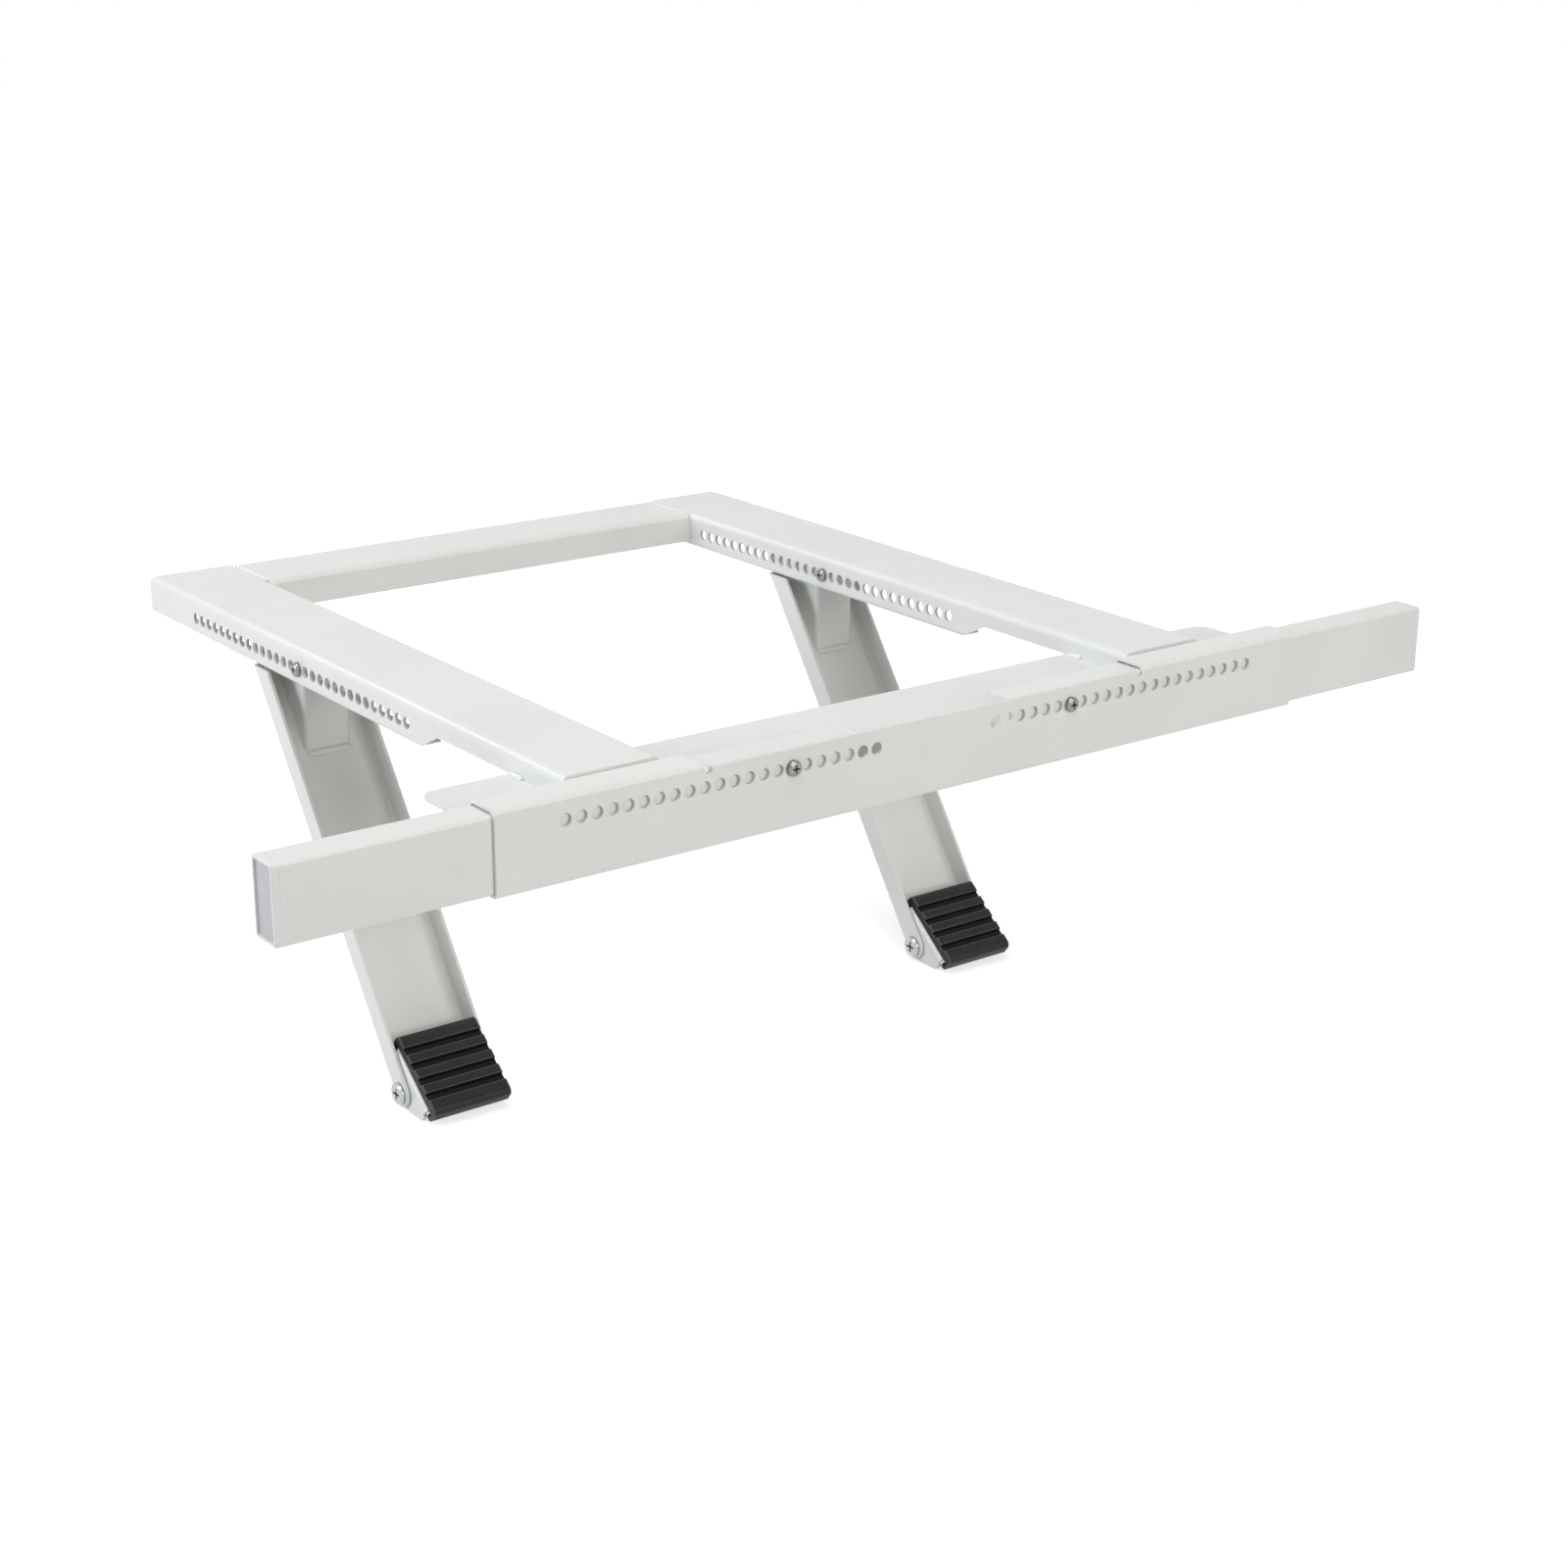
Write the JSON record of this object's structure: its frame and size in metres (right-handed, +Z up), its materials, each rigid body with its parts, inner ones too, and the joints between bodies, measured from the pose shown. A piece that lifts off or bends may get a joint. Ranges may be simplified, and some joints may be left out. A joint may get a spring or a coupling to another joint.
{
  "type": "window air conditioner bracket",
  "caption": "Steel frame for a window air conditioner: telescoping crossbar with sill shelf, outdoor support rails, slanted braces and pivoting rubber feet that press on the wall.",
  "frame": {"origin": "middle of the shelf's underside, the face that rests on the window sill", "axes": "+X along the crossbar to the right as seen from indoors, +Y outdoors along the rails, +Z up"},
  "size_m": [0.718, 0.4803, 0.2346],
  "materials": {
    "white_powder_coat": "satin white powder coat",
    "plated_steel": "bright zinc or nickel plate",
    "grey_plastic": "matte pale grey",
    "black_rubber": "matte black"
  },
  "bodies": {
    "bracket": {"crossbar_sleeve": "white_powder_coat", "rear_cross_rail": "white_powder_coat", "frame_welds": "white_powder_coat", "left_support_rail": "white_powder_coat", "left_extension_tube": "white_powder_coat", "left_end_cap": "grey_plastic", "left_crossbar_screw": "plated_steel", "left_crossbar_nut": "plated_steel", "left_arm_slider": "white_powder_coat", "left_arm_stub": "white_powder_coat", "left_arm": "white_powder_coat", "left_arm_weld": "white_powder_coat", "left_arm_screw": "plated_steel", "left_arm_nut": "plated_steel", "left_pivot_bolt": "plated_steel", "left_pivot_nut": "plated_steel", "right_support_rail": "white_powder_coat", "right_extension_tube": "white_powder_coat", "right_end_cap": "grey_plastic", "right_crossbar_screw": "plated_steel", "right_crossbar_nut": "plated_steel", "right_arm_slider": "white_powder_coat", "right_arm_stub": "white_powder_coat", "right_arm": "white_powder_coat", "right_arm_weld": "white_powder_coat", "right_arm_screw": "plated_steel", "right_arm_nut": "plated_steel", "right_pivot_bolt": "plated_steel", "right_pivot_nut": "plated_steel"},
    "left_foot": {"left_foot_bracket": "white_powder_coat", "left_foot_pad": "black_rubber"},
    "right_foot": {"right_foot_bracket": "white_powder_coat", "right_foot_pad": "black_rubber"}
  },
  "joints": [
    {"name": "left_foot_pivot", "type": "hinge", "parent": "bracket", "child": "left_foot", "pos_m": [-0.176, 0.14812, -0.2115], "axis": [1, 0, 0], "range_deg": [-17, 180]},
    {"name": "right_foot_pivot", "type": "hinge", "parent": "bracket", "child": "right_foot", "pos_m": [0.176, 0.14812, -0.2115], "axis": [1, 0, 0], "range_deg": [-17, 180]}
  ]
}
